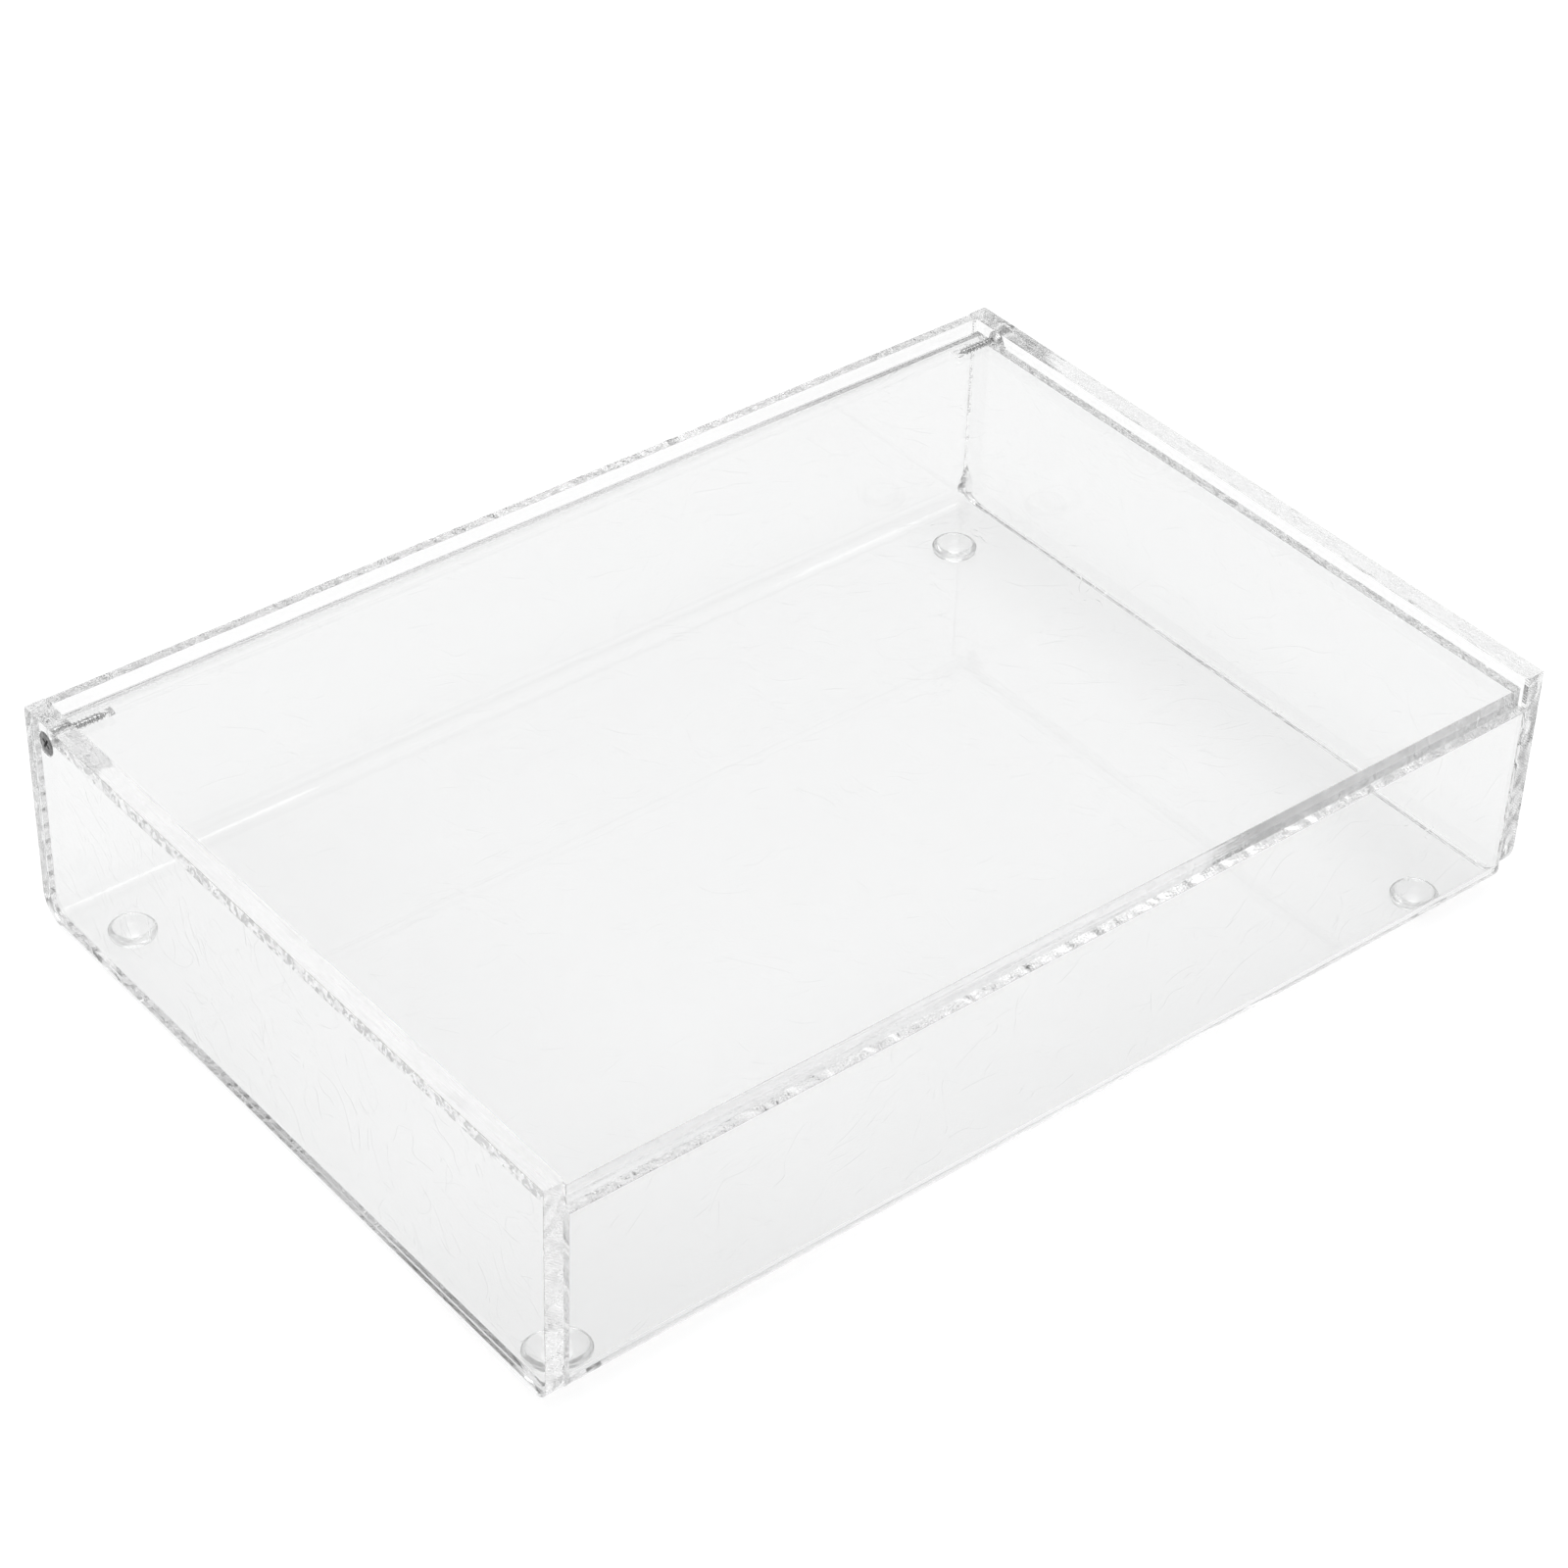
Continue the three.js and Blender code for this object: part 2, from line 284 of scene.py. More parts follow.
def within(point, loop):
    """True if a point is inside a closed loop of points."""
    odd = False
    for a, b in zip(loop, loop[1:] + loop[:1]):
        if (a.y > point.y) != (b.y > point.y):
            if point.x < a.x + (point.y - a.y) / (b.y - a.y) * (b.x - a.x):
                odd = not odd
    return odd


def triangulate(points, edges):
    """Points and faces that fill an area and keep its edges."""
    made, _, faces, *_ = delaunay_2d_cdt(points, edges, [], 0, 1e-9)
    return made, faces


def loops_as_edges(loops):
    """All the loops' points in one list, and their edges as pairs of places in it."""
    points, edges = [], []
    for loop in loops:
        first = len(points)
        points += loop
        edges += [(first + i, first + (i + 1) % len(loop)) for i in range(len(loop))]
    return points, edges


def middle(points, face):
    """The mean of a face's corners."""
    return sum((points[i] for i in face), Vector((0, 0))) / len(face)


def cement_loops(side):
    """The bent sheet's and a side panel's outlines, drawn in to where cement holds them."""
    sheet = outline(sheet_corners(), CEMENT_MARGIN)
    panel = outline(panel_corners(side, SCRAPED_EDGE), ARRIS + CEMENT_MARGIN)
    return sheet, panel


def in_cement(side):
    """A test for whether a spot lies where the bent sheet is cemented to a side panel."""
    sheet, panel = cement_loops(side)
    return lambda spot: within(spot, sheet) and within(spot, panel)


def cemented_area(side):
    """Points and boundary edges of where the bent sheet is cemented to a side panel."""
    cemented = in_cement(side)
    points, faces = triangulate(*loops_as_edges(cement_loops(side)))
    uses = {}
    for face in faces:
        if cemented(middle(points, face)):
            for a, b in zip(face, face[1:] + face[:1]):
                uses.setdefault(frozenset((a, b)), []).append((a, b))
    edges = [found[0] for found in uses.values() if len(found) == 1]
    kept = sorted({corner for edge in edges for corner in edge})
    place = {corner: count for count, corner in enumerate(kept)}
    return [points[corner] for corner in kept], [(place[a], place[b]) for a, b in edges]


# ---------------------------------------------------------------- meshes


def mesh_object(name, mesh, materials):
    """An object in the scene, from a mesh that it uses up."""
    data = bpy.data.meshes.new(name)
    mesh.to_mesh(data)
    mesh.free()
    for material in materials:
        data.materials.append(material)
    made = bpy.data.objects.new(name, data)
    bpy.context.scene.collection.objects.link(made)
    return made


class Prism:
    """A solid along X, made ring by ring, with flat caps that can hold holes and seams."""

    def __init__(self):
        """Starts empty. Corners made so far are kept by their rounded places."""
        self.mesh = bmesh.new()
        self.merged = {}

    def vertex(self, x, spot):
        """The corner at a spot of the plane at x, shared by all faces that meet there."""
        key = tuple(round(place * MERGE_PER_METRE) for place in (x, spot.x, spot.y))
        if key not in self.merged:
            self.merged[key] = self.mesh.verts.new((x, spot.x, spot.y))
        return self.merged[key]

    def face(self, corners, material, smooth):
        """Adds a face, unless its corners have merged into a line or a point."""
        unique = list(dict.fromkeys(corners))
        if len(unique) < 3:
            return
        made = self.mesh.faces.new(unique)
        made.material_index = material
        made.smooth = smooth

    def bridge(self, x_a, ring_a, x_b, ring_b, material_of, smooth_of):
        """Joins two rings of as many points with a wall."""
        count = len(ring_a)
        for i in range(count):
            j = (i + 1) % count
            corners = [
                self.vertex(x_a, ring_a[i]),
                self.vertex(x_a, ring_a[j]),
                self.vertex(x_b, ring_b[j]),
                self.vertex(x_b, ring_b[i]),
            ]
            along = ring_a[j] - ring_a[i]
            outward = Vector((along.y, -along.x)).normalized()
            self.face(corners, material_of(outward, ring_a[i]), smooth_of(along.length))

    def cap(self, x, ring, material, hole=None, seam=None, seam_points=None):
        """Closes a ring, leaving out the hole's loop and giving the seam its own material."""
        points, edges = loops_as_edges([ring] + ([hole] if hole else []))
        if seam_points:
            first = len(points)
            points += seam_points[0]
            edges += [(a + first, b + first) for a, b in seam_points[1]]
        made, faces = triangulate(points, edges)
        for face in faces:
            spot = middle(made, face)
            if not within(spot, ring) or (hole and within(spot, hole)):
                continue
            kind = SEAM if seam and seam(spot) else material
            self.face([self.vertex(x, made[i]) for i in face], kind, False)

    def finish(self, name):
        """The prism as an object, with every acrylic finish to choose from."""
        bmesh.ops.recalc_face_normals(self.mesh, faces=self.mesh.faces)
        return mesh_object(name, self.mesh, ACRYLIC)


def bore(solid, x_a, ring_a, x_b, ring_b, material):
    """The round wall of a hole, which shades smooth and has one finish."""
    solid.bridge(x_a, ring_a, x_b, ring_b, lambda outward, spot: material, lambda length: True)


def is_arc(length):
    """Faces of arcs are narrow, and shade smooth. Flats are wide, and shade flat."""
    return length < WIDEST_ARC_FACE


def arris_steps(edge_x, inward, size=ARRIS):
    """(x, inset) pairs of the rounded arris at a cap, from the cap inwards."""
    turns = [math.pi / 2 * step / ARRIS_STEPS for step in range(ARRIS_STEPS + 1)]
    return [(edge_x + inward * size * (1 - math.cos(t)), size * (1 - math.sin(t))) for t in turns]


# ---------------------------------------------------------------- materials


def node(tree, kind, **values):
    """A shader node with its settings, or else its sockets, set to the values."""
    made = tree.nodes.new(kind)
    for name, value in values.items():
        if hasattr(made, name):
            setattr(made, name, value)
        else:
            made.inputs[name.replace("_", " ")].default_value = value
    return made


def new_material(name, **values):
    """A Principled material with its uniform values set on its own sockets."""
    made = bpy.data.materials.new(name)
    made.use_nodes = True
    shader = made.node_tree.nodes["Principled BSDF"]
    for key, value in values.items():
        shader.inputs[key.replace("_", " ")].default_value = value
    return made


def coordinates(tree, scale=(1, 1, 1), turn=(0, 0, 0)):
    """Places in the object's own frame, stretched by scale after a turn in degrees."""
    place = node(tree, "ShaderNodeTexCoord")
    turned = node(tree, "ShaderNodeMapping")
    turned.inputs["Rotation"].default_value = [math.radians(a) for a in turn]
    stretched = node(tree, "ShaderNodeMapping")
    stretched.inputs["Scale"].default_value = scale
    tree.links.new(place.outputs["Object"], turned.inputs["Vector"])
    tree.links.new(turned.outputs["Vector"], stretched.inputs["Vector"])
    return stretched.outputs["Vector"]


def noise(tree, vector, scale, detail=2.0, distortion=0.0):
    """Cloudy noise between 0 and 1."""
    made = node(tree, "ShaderNodeTexNoise", Scale=scale, Detail=detail, Distortion=distortion)
    tree.links.new(vector, made.inputs["Vector"])
    return made.outputs["Fac"]


def wave(tree, vector, scale, distortion):
    """Even stripes between 0 and 1, bent by the distortion."""
    made = node(tree, "ShaderNodeTexWave", Scale=scale, Distortion=distortion)
    tree.links.new(vector, made.inputs["Vector"])
    return made.outputs["Fac"]


def math_node(tree, operation, a, b=0.0):
    """The result for two operands, each a number or a socket."""
    made = node(tree, "ShaderNodeMath", operation=operation)
    for socket, value in zip(made.inputs, (a, b)):
        if isinstance(value, (int, float)):
            socket.default_value = value
        else:
            tree.links.new(value, socket)
    return made.outputs[0]


def band(tree, value, low, high, out_low=0.0, out_high=1.0):
    """A value that goes from out_low to out_high as the input goes from low to high."""
    made = node(tree, "ShaderNodeMapRange", clamp=True)
    for socket, number in zip(list(made.inputs)[1:5], (low, high, out_low, out_high)):
        socket.default_value = number
    tree.links.new(value, made.inputs["Value"])
    return made.outputs["Result"]


def bumps(material, layers):
    """Stacks (height socket, depth in metres) layers as bumps on the material's shader."""
    tree = material.node_tree
    shader = tree.nodes["Principled BSDF"]
    normal = None
    for height, depth in layers:
        made = node(tree, "ShaderNodeBump", Distance=depth, Strength=1.0)
        tree.links.new(height, made.inputs["Height"])
        if normal:
            tree.links.new(normal, made.inputs["Normal"])
        normal = made.outputs["Normal"]
    tree.links.new(normal, shader.inputs["Normal"])


def hairlines(tree, scale, seed):
    """Thin curved scratches: narrow contour lines of a slow noise, broken up by another."""
    moved = node(tree, "ShaderNodeMapping")
    moved.inputs["Location"].default_value = (seed, 2 * seed, 3 * seed)
    tree.links.new(coordinates(tree), moved.inputs["Vector"])
    value = noise(tree, moved.outputs["Vector"], scale, detail=1.0, distortion=0.8)
    away = math_node(tree, "ABSOLUTE", math_node(tree, "SUBTRACT", value, 0.5))
    line = band(tree, away, 0.0, SCRATCH_WIDTH, 1.0, 0.0)
    kept = band(tree, noise(tree, moved.outputs["Vector"], 2 * scale), *SCRATCH_BREAKS)
    return math_node(tree, "MULTIPLY", line, kept)


def clear(name, roughness, tint=ACRYLIC_TINT, ior=ACRYLIC_IOR):
    """A material that light passes through and bends in."""
    return new_material(
        name, Base_Color=tint, Roughness=roughness, IOR=ior, Transmission_Weight=1.0
    )


def polished_acrylic():
    """Sheet faces: clear and flat, with hairline scratches and faint unevenness."""
    made = clear("acrylic_polished", 0.0)
    tree = made.node_tree
    layers = [(noise(tree, coordinates(tree), WAVE_SCALE, detail=1.0), WAVE_DEPTH)]
    for scale in SCRATCH_SCALES:
        layers.append((hairlines(tree, scale, scale / 7), SCRATCH_DEPTH))
    bumps(made, layers)
    return made


def saw_marks(tree):
    """Bump layers of a sawn edge: slow ripples under slanting tooth marks."""
    ripples = noise(tree, coordinates(tree), RIPPLE_SCALE, detail=1.0, distortion=0.6)
    teeth = wave(tree, coordinates(tree, turn=TOOTH_SLANT), TOOTH_SCALE, distortion=2.0)
    return [(ripples, RIPPLE_DEPTH), (teeth, TOOTH_DEPTH)]


def sawn_acrylic():
    """Saw cut edges: ripples and tooth marks, duller in patches."""
    made = clear("acrylic_sawn", 0.05)
    tree = made.node_tree
    bumps(made, saw_marks(tree))
    dull = band(tree, noise(tree, coordinates(tree), DULL_SCALE), *DULL_PATCHES)
    tree.links.new(dull, tree.nodes["Principled BSDF"].inputs["Roughness"])
    return made


def chipped_acrylic_painted_glints():
    """The lid's ends, cut roughly: bumpy chips along a clear edge, with metallic patches among them
    as painted glints.
    """
    made = clear("acrylic_chipped_painted_glints", 0.08, WHITE)
    tree = made.node_tree
    chips = noise(tree, coordinates(tree), CHIP_SCALE, detail=2.0, distortion=0.8)
    # Metallic patches among the chips: painted glints
    painted_glints = band(tree, chips, *CHIP_GLINT_PATCHES)
    tree.links.new(painted_glints, tree.nodes["Principled BSDF"].inputs["Metallic"])
    bumps(made, saw_marks(tree) + [(chips, CHIP_DEPTH)])
    return made


def scraped_acrylic():
    """Panel edges drawn along with a scraper: streaks from front to back."""
    made = clear("acrylic_scraped", 0.08)
    tree = made.node_tree
    streaks = noise(tree, coordinates(tree, STREAK_SCALES), 1.0, detail=3.0)
    swell = noise(tree, coordinates(tree, SWELL_SCALES), 1.0, detail=1.0)
    bumps(made, [(swell, SWELL_DEPTH), (streaks, STREAK_DEPTH)])
    return made


def lid_front_acrylic():
    """The lid's front edge, scraped smooth: faint lines from end to end."""
    made = clear("acrylic_lid_front", 0.03)
    tree = made.node_tree
    streaks = noise(tree, coordinates(tree, LID_STREAK_SCALES), 1.0, detail=2.0)
    bumps(made, [(streaks, LID_STREAK_DEPTH)])
    return made


def seam_acrylic():
    """Where cement joins two pieces of the same plastic, light passes straight through."""
    return clear("acrylic_cemented", 0.0, WHITE, 1.0)


def bored_acrylic():
    """Drilled walls, with the drill's fine rings."""
    made = clear("acrylic_bored", 0.15)
    tree = made.node_tree
    rings = wave(tree, coordinates(tree), BORE_RING_SCALE, distortion=1.5)
    bumps(made, [(rings, BORE_RING_DEPTH)])
    return made


def bumper_plastic():
    """Soft moulded plastic, and cement: clear, with faint dimples."""
    made = clear("bumper_clear", 0.0, WHITE)
    tree = made.node_tree
    bumps(made, [(noise(tree, coordinates(tree), DIMPLE_SCALE, detail=2.0), DIMPLE_DEPTH)])
    return made


def zinc_steel(name, bright, dark):
    """Stained zinc plating, between a bright and a dark grey."""
    made = new_material(name, Roughness=0.25, Metallic=1.0)
    tree = made.node_tree
    shader = tree.nodes["Principled BSDF"]
    stains = noise(tree, coordinates(tree), STAIN_SCALE, detail=4.0)
    mix = node(tree, "ShaderNodeMix", data_type="RGBA")
    mix.inputs[6].default_value = (bright, bright, bright, 1)
    mix.inputs[7].default_value = (dark, dark, dark, 1)
    tree.links.new(band(tree, stains, *STAIN_PATCHES), mix.inputs[0])
    tree.links.new(mix.outputs[2], shader.inputs["Base Color"])
    worn = noise(tree, coordinates(tree), WEAR_SCALE, detail=3.0)
    tree.links.new(band(tree, worn, *WEAR_ROUGHNESS), shader.inputs["Roughness"])
    bumps(made, [(noise(tree, coordinates(tree), PIT_SCALE, detail=3.0), PIT_DEPTH)])
    return made


ACRYLIC = [
    polished_acrylic(),
    sawn_acrylic(),
    seam_acrylic(),
    bored_acrylic(),
    scraped_acrylic(),
    lid_front_acrylic(),
    chipped_acrylic_painted_glints(),
]
FACE, SAWN, SEAM, BORE, SCRAPED, LID_FRONT, CHIPPED_GLINTS = range(len(ACRYLIC))
BUMPER = [bumper_plastic()]
STEEL = [zinc_steel("zinc_steel_painted_shade", *HEAD_PAINTED_SHADE_GREYS), zinc_steel("zinc_steel_shank", *SHANK_GREYS)]


def stand_in(piece, cad_node, body):
    """Rides a piece on its body, in the place of the CAD node."""
    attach(piece, body)
    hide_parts(cad_node)
    return piece


# ---------------------------------------------------------------- the acrylic pieces


def make_prism(solid, corners, low_x, high_x, material_of, arris):
    """Walls and rounded arrises of a prism between two X planes, without its caps."""
    rings = [(x, outline(corners, inset)) for x, inset in arris_steps(low_x, 1, arris)]
    rings += [(x, outline(corners, inset)) for x, inset in reversed(arris_steps(high_x, -1, arris))]
    for (x_a, ring_a), (x_b, ring_b) in zip(rings, rings[1:]):
        solid.bridge(x_a, ring_a, x_b, ring_b, material_of, is_arc)
    return rings[0][1], rings[-1][1]


def make_bent_sheet():
    """The front wall, bottom and back wall, sawn at the ends and along the front wall's rim."""
    top_rim = front_top_z - 2 * ARRIS

    def material_of(outward, spot):
        return SAWN if outward.y > UPWARD and spot.y > top_rim else FACE

    solid = Prism()
    low, high = make_prism(solid, sheet_corners(), sheet_lo.x, sheet_hi.x, material_of, SEAM_ARRIS)
    for side, x, ring in ((-1, sheet_lo.x, low), (1, sheet_hi.x, high)):
        solid.cap(x, ring, SAWN, seam=in_cement(side), seam_points=cemented_area(side))
    made = solid.finish("tray_bent_sheet")
    return stand_in(made, "bent_sheet_body", "tray")


def make_side_panel(side):
    """An end panel, with a countersunk hole for its screw and its inner edges scraped."""
    outer_x, inner_x = (left_lo.x, left_hi.x) if side < 0 else (right_hi.x, right_lo.x)
    inward = -side
    plain = panel_corners(side)
    scraped = panel_corners(side, SCRAPED_EDGE)
    mouth = HEAD_RADIUS + TURNING_CLEARANCE
    inner = THREAD_RADIUS + TURNING_CLEARANCE
    rim = SCREW_RECESS + HEAD_RIM
    throat = rim + (mouth - inner) / math.tan(HEAD_HALF_ANGLE)

    def material_of(outward, spot):
        if outward.y > UPWARD:
            return SCRAPED
        return FACE if outward.y < DOWNWARD else SAWN

    solid = Prism()
    rings = [(x, outline(plain, inset)) for x, inset in arris_steps(outer_x, inward)]
    rings.append((inner_x - inward * SCRAPED_EDGE, outline(plain)))
    rings.append((inner_x, outline(scraped, ARRIS)))
    for (x_a, ring_a), (x_b, ring_b) in zip(rings, rings[1:]):
        solid.bridge(x_a, ring_a, x_b, ring_b, material_of, is_arc)
    solid.cap(outer_x, rings[0][1], FACE, circle(mouth))
    solid.cap(inner_x, rings[-1][1], FACE, circle(inner), in_cement(side), cemented_area(side))
    steps = [(0, mouth), (rim, mouth), (throat, inner), (thickness, inner)]
    for (from_x, from_r), (to_x, to_r) in zip(steps, steps[1:]):
        x_a, x_b = outer_x + inward * from_x, outer_x + inward * to_x
        bore(solid, x_a, circle(from_r), x_b, circle(to_r), BORE)
    made = solid.finish(f"tray_side_panel_{SIDES[side]}")
    return stand_in(made, f"side_panel_{SIDES[side]}", "tray")


def make_lid():
    """The lid, with a pilot hole in each end. Where a thread fills it, light passes through."""

    def material_of(outward, spot):
        return LID_FRONT if outward.x < FORWARD else FACE

    solid = Prism()
    low, high = make_prism(solid, lid_corners(), lid_lo.x, lid_hi.x, material_of, ARRIS)
    hole = circle(THREAD_RADIUS + THREAD_CLEARANCE)
    for x, ring, inward in ((lid_lo.x, low, 1), (lid_hi.x, high, -1)):
        # The ends take the chipped finish, with its painted glints
        solid.cap(x, ring, CHIPPED_GLINTS, hole)
        gripped, bottom = x + inward * THREAD_CONTACT, x + inward * PILOT_DEPTH
        bore(solid, x, hole, gripped, hole, SEAM)
        bore(solid, gripped, hole, bottom, hole, FACE)
        solid.cap(bottom, hole, FACE)
    made = solid.finish("lid_sheet")
    return stand_in(made, "lid_panel", "lid")


# ---------------------------------------------------------------- screws and feet


def revolve(profile, steps, place):
    """A turned mesh from (radius, height) pairs; place(radius, turn, height) gives the spot."""
    mesh = bmesh.new()
    rows = []
    for radius, height in profile:
        if radius == 0:
            rows.append([mesh.verts.new(place(0, 0, height))] * steps)
        else:
            turns = [2 * math.pi * i / steps for i in range(steps)]
            rows.append([mesh.verts.new(place(radius, t, height)) for t in turns])
    for row_a, row_b in zip(rows, rows[1:]):
        for i in range(steps):
            j = (i + 1) % steps
            corners = list(dict.fromkeys([row_a[i], row_a[j], row_b[j], row_b[i]]))
            if len(corners) > 2:
                mesh.faces.new(corners).smooth = True
    bmesh.ops.recalc_face_normals(mesh, faces=mesh.faces)
    return mesh


def hinge_place(side):
    """Maps radius, turn and depth from the panel's outer face to a spot on the hinge line."""
    outer_x = left_lo.x if side < 0 else right_hi.x

    def place(radius, turn, depth):
        y = hinge_y + radius * math.cos(turn)
        return Vector((outer_x - side * depth, y, hinge_z + radius * math.sin(turn)))

    return place


def thread(side, start, end):
    """The screw's threaded shank, as a grid whose radius follows the helix."""
    place = hinge_place(side)
    length = end - start
    rows = int(length / THREAD_PITCH * THREAD_ROWS_PER_TURN)
    mesh = bmesh.new()
    grid = []
    for row in range(rows + 1):
        depth = start + length * row / rows
        taper = min(1.0, (end - depth) / THREAD_POINT)
        line = []
        for i in range(THREAD_AROUND):
            turn = 2 * math.pi * i / THREAD_AROUND
            phase = (depth / THREAD_PITCH - side * turn / (2 * math.pi)) % 1.0
            crest = max(0.0, 1.0 - abs(phase - 0.5) / THREAD_FLANK)
            grown = min(1.0, (depth - start) / THREAD_PITCH)
            radius = ROOT_RADIUS + (THREAD_RADIUS - ROOT_RADIUS) * crest * grown
            line.append(mesh.verts.new(place(max(radius * taper, LEAST_RADIUS), turn, depth)))
        grid.append(line)
    for line_a, line_b in zip(grid, grid[1:]):
        for i in range(THREAD_AROUND):
            j = (i + 1) % THREAD_AROUND
            mesh.faces.new([line_a[i], line_a[j], line_b[j], line_b[i]]).smooth = True
    mesh.faces.new(grid[0])
    mesh.faces.new(grid[-1])
    bmesh.ops.recalc_face_normals(mesh, faces=mesh.faces)
    return mesh


def cross_blade(side, turn):
    """One tapered blade of the cross recess, as a closed cutter."""
    place = hinge_place(side)
    mesh = bmesh.new()
    half_width = CROSS_WIDTH / 2
    levels = [(CROSS_START, half_width), (SCREW_RECESS, half_width)]
    levels.append((SCREW_RECESS + CROSS_DEPTH, half_width / CROSS_TAPER))
    rows = []
    for depth, half in levels:
        row = []
        for along, across in ((1, 1), (-1, 1), (-1, -1), (1, -1)):
            radius = math.hypot(half, CROSS_BLADE / 2)
            angle = math.atan2(across * CROSS_BLADE / 2, along * half)
            row.append(mesh.verts.new(place(radius, angle + turn, depth)))
        rows.append(row)
    for row_a, row_b in zip(rows, rows[1:]):
        for i in range(4):
            mesh.faces.new([row_a[i], row_a[i - 1], row_b[i - 1], row_b[i]])
    mesh.faces.new(rows[0])
    mesh.faces.new(rows[-1])
    bmesh.ops.recalc_face_normals(mesh, faces=mesh.faces)
    return mesh_object("cutter", mesh, [])


def cut_with(piece, cutters):
    """Takes the cutters' shapes out of a piece, and the cutters out of the scene."""
    for cutter in cutters:
        modifier = piece.modifiers.new("cut", "BOOLEAN")
        modifier.operation = "DIFFERENCE"
        modifier.solver = "EXACT"
        modifier.object = cutter
    graph = bpy.context.evaluated_depsgraph_get()
    data = bpy.data.meshes.new_from_object(piece.evaluated_get(graph))
    piece.modifiers.clear()
    old, piece.data = piece.data, data
    bpy.data.meshes.remove(old)
    for cutter in cutters:
        bpy.data.objects.remove(cutter)


def make_screw(side):
    """A flat head screw with a cross recess: a turned head, cut, and a threaded shank."""
    neck = SCREW_RECESS + HEAD_RIM + (HEAD_RADIUS - ROOT_RADIUS) / math.tan(HEAD_HALF_ANGLE)
    screw_lo, screw_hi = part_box(f"hinge_screw_{SIDES[side]}")
    end = SCREW_RECESS + screw_hi.x - screw_lo.x
    mid_panel = right_lo.x + thickness / 2
    top = SCREW_RECESS
    soft = HEAD_SOFTENING
    profile = [(0, top), (HEAD_RADIUS - 2 * soft, top), (HEAD_RADIUS - soft, top + 0.3 * soft)]
    profile += [(HEAD_RADIUS, top + soft), (HEAD_RADIUS, top + HEAD_RIM + soft)]
    profile += [(ROOT_RADIUS + soft, neck), (ROOT_RADIUS, neck + 2 * soft), (0, neck + 2 * soft)]
    head = mesh_object("head", revolve(profile, HOLE_STEPS, hinge_place(side)), [])
    turn = CROSS_TURN[side]
    cut_with(head, [cross_blade(side, turn), cross_blade(side, turn + math.pi / 2)])
    mesh = thread(side, neck, end)
    mesh.from_mesh(head.data)
    bpy.data.objects.remove(head)
    # Head faces that look outward take the darker steel, as painted shade; the rest take the
    # lighter steel
    for face in mesh.faces:
        in_head = face.calc_center_median().x * side > mid_panel
        face.material_index = 0 if in_head and face.normal.x * side > OUTWARD else 1
    made = mesh_object(f"lid_screw_{SIDES[side]}", mesh, STEEL)
    made.data.set_sharp_from_angle(angle=SCREW_SHARP)
    return stand_in(made, f"hinge_screw_{SIDES[side]}", "lid")


def make_cement_drop():
    """A drop of cement that ran down the right rear inner corner, clinging to both walls."""
    wall_x, wall_y = right_lo.x + CONTACT, sheet_hi.y - BODY_SHEET + CONTACT
    mesh = bmesh.new()
    rows = []
    for step in range(DROP_STEPS + 1):
        rise = step / DROP_STEPS
        reach = DROP_REACH * max(math.sin(math.pi * math.sqrt(rise)), DROP_TIP)
        turns = [math.pi / 2 * i / DROP_AROUND for i in range(DROP_AROUND + 1)]
        spots = [(wall_x - reach * math.cos(t), wall_y - reach * math.sin(t)) for t in turns]
        z = DROP_BOTTOM + DROP_HEIGHT * rise
        rows.append([mesh.verts.new((x, y, z)) for x, y in [(wall_x, wall_y)] + spots])
    for row_a, row_b in zip(rows, rows[1:]):
        for i in range(len(row_a)):
            made = mesh.faces.new([row_a[i - 1], row_a[i], row_b[i], row_b[i - 1]])
            made.smooth = True
    mesh.faces.new(rows[0])
    mesh.faces.new(rows[-1])
    bmesh.ops.recalc_face_normals(mesh, faces=mesh.faces)
    drop = mesh_object("tray_cement_drop", mesh, BUMPER)
    drop.data.set_sharp_from_angle(angle=ROUND_SHARP)
    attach(drop, "tray")


def make_foot(where):
    """A domed bumper and its adhesive, pressed against the sheet without an air film."""
    lo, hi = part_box(f"bumper_foot_{where}")
    centre = (lo + hi) / 2
    radius = (hi.x - lo.x) / 2
    shoulder = hi.z - lo.z - FOOT_SIDE
    top = hi.z + CONTACT

    def place(r, turn, z):
        return Vector((centre.x + r * math.cos(turn), centre.y + r * math.sin(turn), z))

    profile = [(0, lo.z), (FOOT_FLAT_INNER, lo.z)]
    for step in range(FOOT_STEPS + 1):
        turn = math.pi / 2 * step / FOOT_STEPS
        reach = FOOT_FLAT + (radius - FOOT_FLAT) * math.sin(turn)
        profile.append((reach, lo.z + shoulder * (1 - math.cos(turn))))
    profile += [(radius, hi.z - FOOT_RIM), (radius - FOOT_RIM, top), (0, top)]
    dome = mesh_object(f"foot_dome_{where}", revolve(profile, FOOT_AROUND, place), BUMPER)
    dome.data.set_sharp_from_angle(angle=ROUND_SHARP)
    stand_in(dome, f"bumper_foot_{where}", "tray")

    lo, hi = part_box(f"foot_adhesive_{where}")
    radius = (hi.x - lo.x) / 2
    top = hi.z + CONTACT
    profile = [(0, lo.z), (radius, lo.z), (radius, top), (0, top)]
    disc = mesh_object(f"foot_tape_{where}", revolve(profile, FOOT_AROUND, place), BUMPER)
    disc.data.set_sharp_from_angle(angle=ROUND_SHARP)
    stand_in(disc, f"foot_adhesive_{where}", "tray")


make_bent_sheet()
make_lid()
make_cement_drop()
for side in SIDES:
    make_side_panel(side)
    make_screw(side)
for where in ("front_left", "front_right", "back_left", "back_right"):
    make_foot(where)


# ---------------------------------------------------------------- floor, light and camera


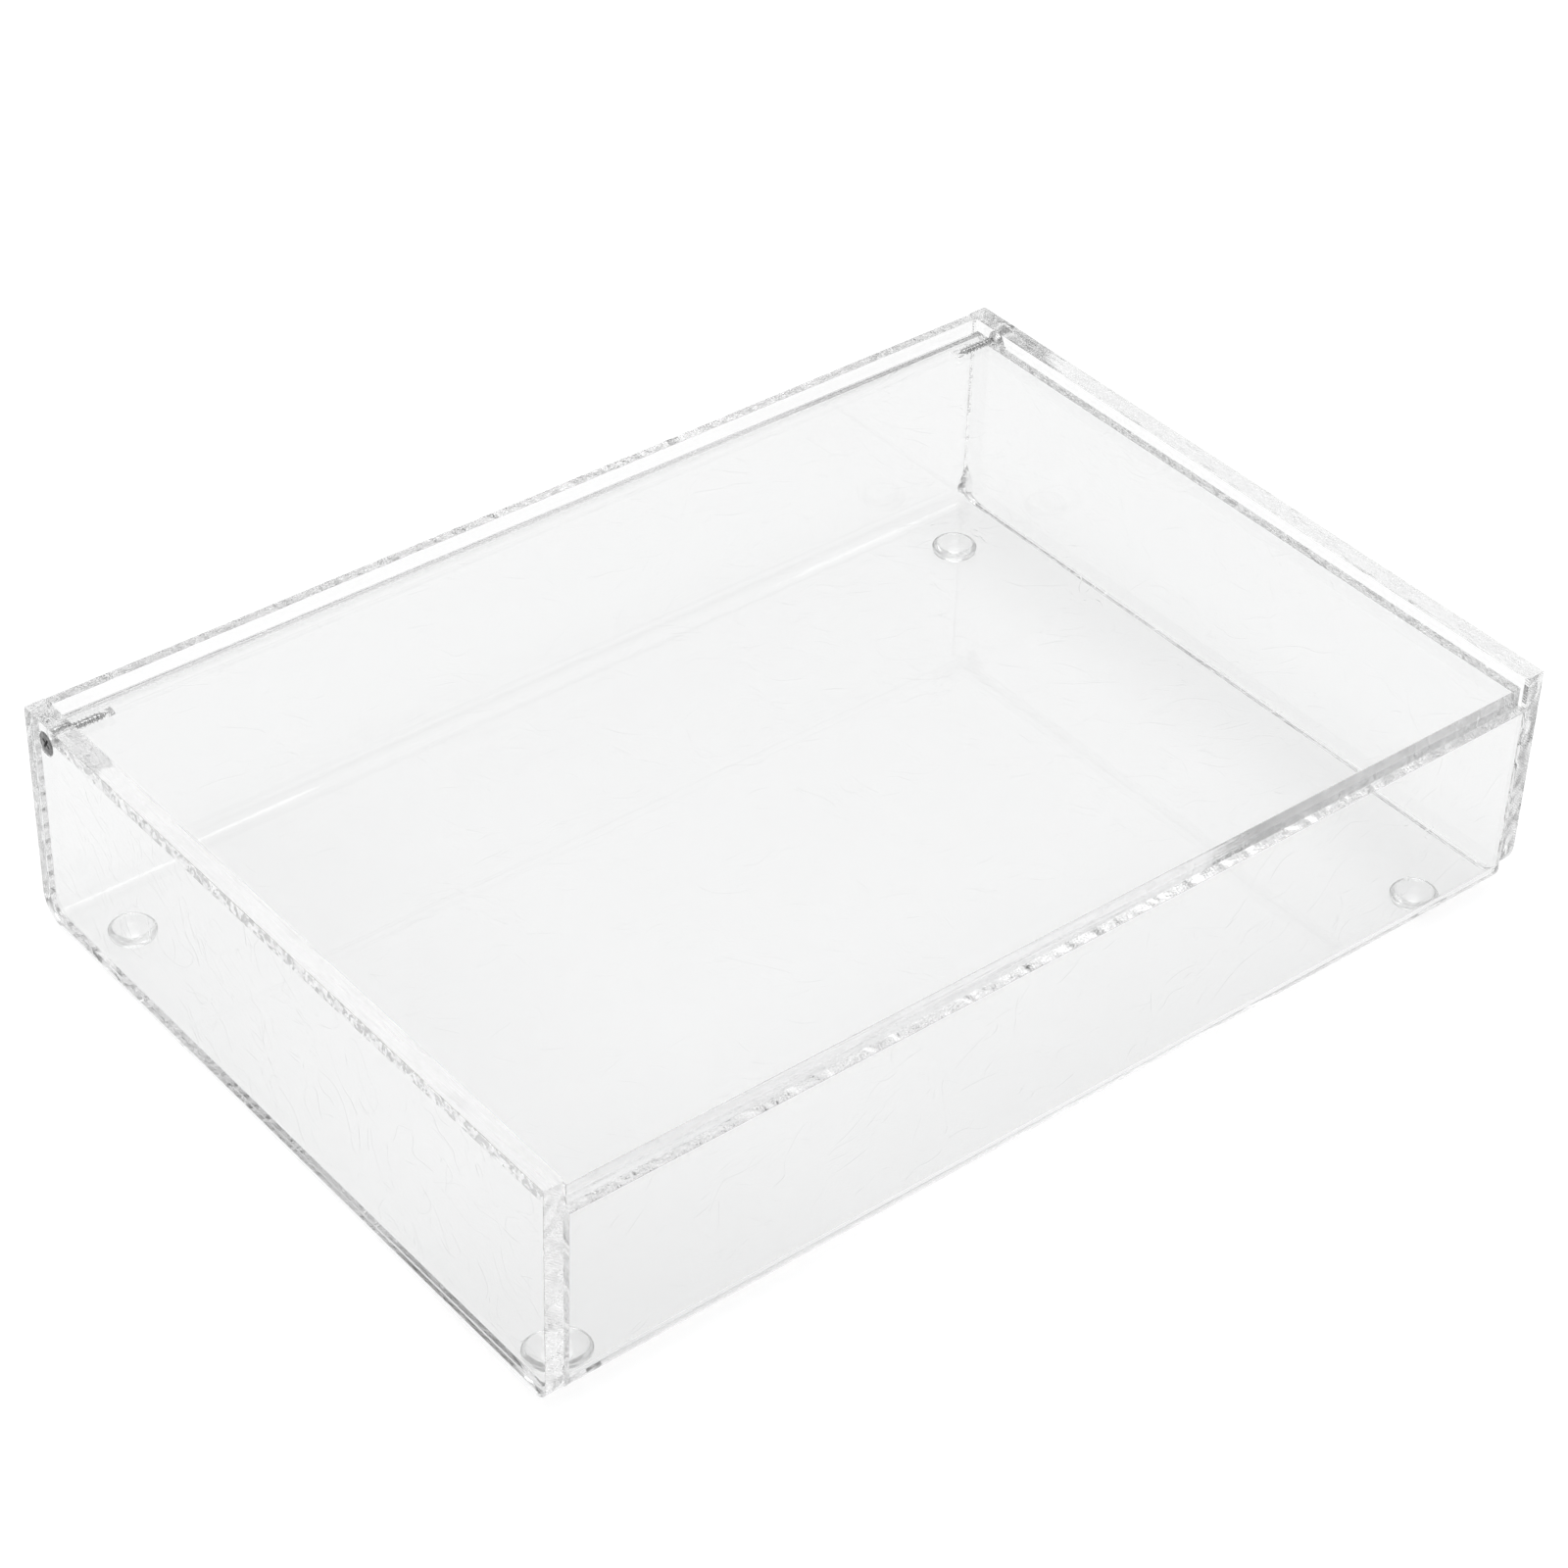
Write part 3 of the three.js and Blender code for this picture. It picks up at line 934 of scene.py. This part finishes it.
def make_floor():
    """A grey floor that glows white as painted light, so that the tray's shadow stays faint, and
    glows less towards its front, back and sides as painted shade.
    """
    mesh = bmesh.new()
    bmesh.ops.create_grid(mesh, x_segments=1, y_segments=1, size=FLOOR_SIZE)
    glowing_floor = new_material(
        "floor_painted_glow", Base_Color=FLOOR_GREY, Roughness=0.9, Emission_Color=WHITE
    )
    tree = glowing_floor.node_tree
    split = node(tree, "ShaderNodeSeparateXYZ")
    tree.links.new(coordinates(tree), split.inputs[0])
    # Painted light: the floor's glow, dimmer towards its margins as painted shade
    painted_glow = 1.0
    for axis, steps in (("Y", PAINTED_GLOW_DEPTHWISE), ("X", PAINTED_GLOW_ACROSS)):
        for low, high, at_low, at_high in steps:
            edge = band(tree, split.outputs[axis], low, high, at_low, at_high)
            painted_glow = math_node(tree, "MULTIPLY", edge, painted_glow)
    painted_glow = math_node(tree, "MAXIMUM", painted_glow, PAINTED_GLOW_LEAST)
    tree.links.new(painted_glow, tree.nodes["Principled BSDF"].inputs["Emission Strength"])
    floor = mesh_object("studio_floor", mesh, [glowing_floor])


def make_world():
    """A white dome over a dark horizon, dimmer on the side where the camera stands."""
    world = bpy.data.worlds.new("studio")
    bpy.context.scene.world = world
    world.use_nodes = True
    tree = world.node_tree
    place = node(tree, "ShaderNodeTexCoord").outputs["Generated"]
    height = node(tree, "ShaderNodeSeparateXYZ")
    tree.links.new(place, height.inputs[0])
    dome = band(tree, height.outputs["Z"], *SKY_RISE)
    facing = node(tree, "ShaderNodeVectorMath", operation="DOT_PRODUCT")
    facing.inputs[1].default_value = Vector(SKY_FRONT_WAY).normalized()
    tree.links.new(place, facing.inputs[0])
    front = band(tree, facing.outputs["Value"], *SKY_FRONT)
    background = tree.nodes["Background"]
    background.inputs["Color"].default_value = WHITE
    tree.links.new(math_node(tree, "MULTIPLY", dome, front), background.inputs["Strength"])


def make_softbox():
    """A square soft light straight above the tray, facing down."""
    data = bpy.data.lights.new("softbox_overhead", "AREA")
    data.shape = "SQUARE"
    data.size = SOFTBOX_SIZE
    data.energy = SOFTBOX_POWER
    light = bpy.data.objects.new("softbox_overhead", data)
    light.location = (0, 0, SOFTBOX_HEIGHT)
    bpy.context.scene.collection.objects.link(light)


def make_camera():
    """From the front left and above, with a long lens and a slight roll."""
    data = bpy.data.cameras.new("camera")
    data.sensor_width = CAMERA_SENSOR
    data.lens = CAMERA_LENS
    data.clip_start = CAMERA_NEAR
    data.clip_end = CAMERA_FAR
    camera = bpy.data.objects.new("camera", data)
    camera.location = CAMERA_PLACE
    heading = Matrix.Rotation(-CAMERA_AZIMUTH, 3, "Z")
    tilt = Matrix.Rotation(math.pi / 2 - CAMERA_ELEVATION, 3, "X")
    camera.rotation_euler = (heading @ tilt @ Matrix.Rotation(CAMERA_ROLL, 3, "Z")).to_euler()
    bpy.context.scene.collection.objects.link(camera)
    bpy.context.scene.camera = camera


make_floor()
make_world()
make_softbox()
make_camera()

scene = bpy.context.scene
scene.view_settings.view_transform = "Standard"
scene.cycles.max_bounces = CLEAR_BOUNCES
scene.cycles.diffuse_bounces = DIFFUSE_BOUNCES
scene.cycles.glossy_bounces = CLEAR_BOUNCES
scene.cycles.transmission_bounces = CLEAR_BOUNCES
scene.cycles.transparent_max_bounces = TRANSPARENT_BOUNCES
